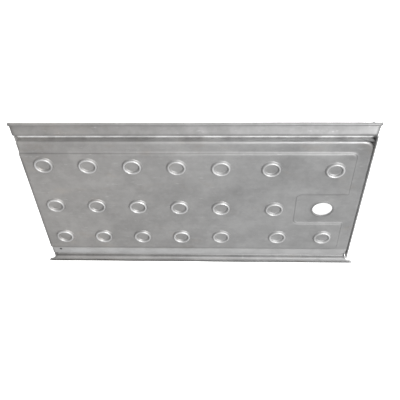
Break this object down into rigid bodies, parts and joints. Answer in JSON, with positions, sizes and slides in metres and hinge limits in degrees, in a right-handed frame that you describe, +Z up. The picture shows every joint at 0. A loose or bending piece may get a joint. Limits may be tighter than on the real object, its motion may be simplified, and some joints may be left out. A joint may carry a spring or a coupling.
{
  "type": "scaffold plank",
  "caption": "Short galvanised steel scaffold plank: dimpled deck plate with a tie hole, gutter-shaped side rails with rolled edges, and ribs and caps below.",
  "frame": {"origin": "centre of the plank's length and width, on the underside that it rests on", "axes": "+X along the plank towards the end with the tie hole, +Y across it towards the rail with the shorter slanted ends, +Z up out of the walking surface"},
  "size_m": [0.422, 0.25, 0.0322],
  "materials": {
    "deck_steel": "galvanised, mottled, satin",
    "rail_steel": "galvanised, satin",
    "cap_steel": "galvanised, satin",
    "rib_steel": "galvanised, dull",
    "rivet_steel": "zinc plated, satin",
    "weld_metal": "zinc-sprayed weld, dull"
  },
  "bodies": {
    "root": {"deck_plate": "deck_steel", "near_rail": "rail_steel", "far_rail": "rail_steel", "left_end_cap": "cap_steel", "right_end_cap": "cap_steel", "left_gutter_stops": "cap_steel", "left_rib": "rib_steel", "middle_rib": "rib_steel", "right_rib": "rib_steel", "near_rail_rivets": "rivet_steel", "far_rail_rivets": "rivet_steel", "rib_rivets": "rivet_steel", "cap_rivets": "rivet_steel", "left_cap_welds": "weld_metal", "right_cap_welds": "weld_metal"}
  },
  "joints": []
}
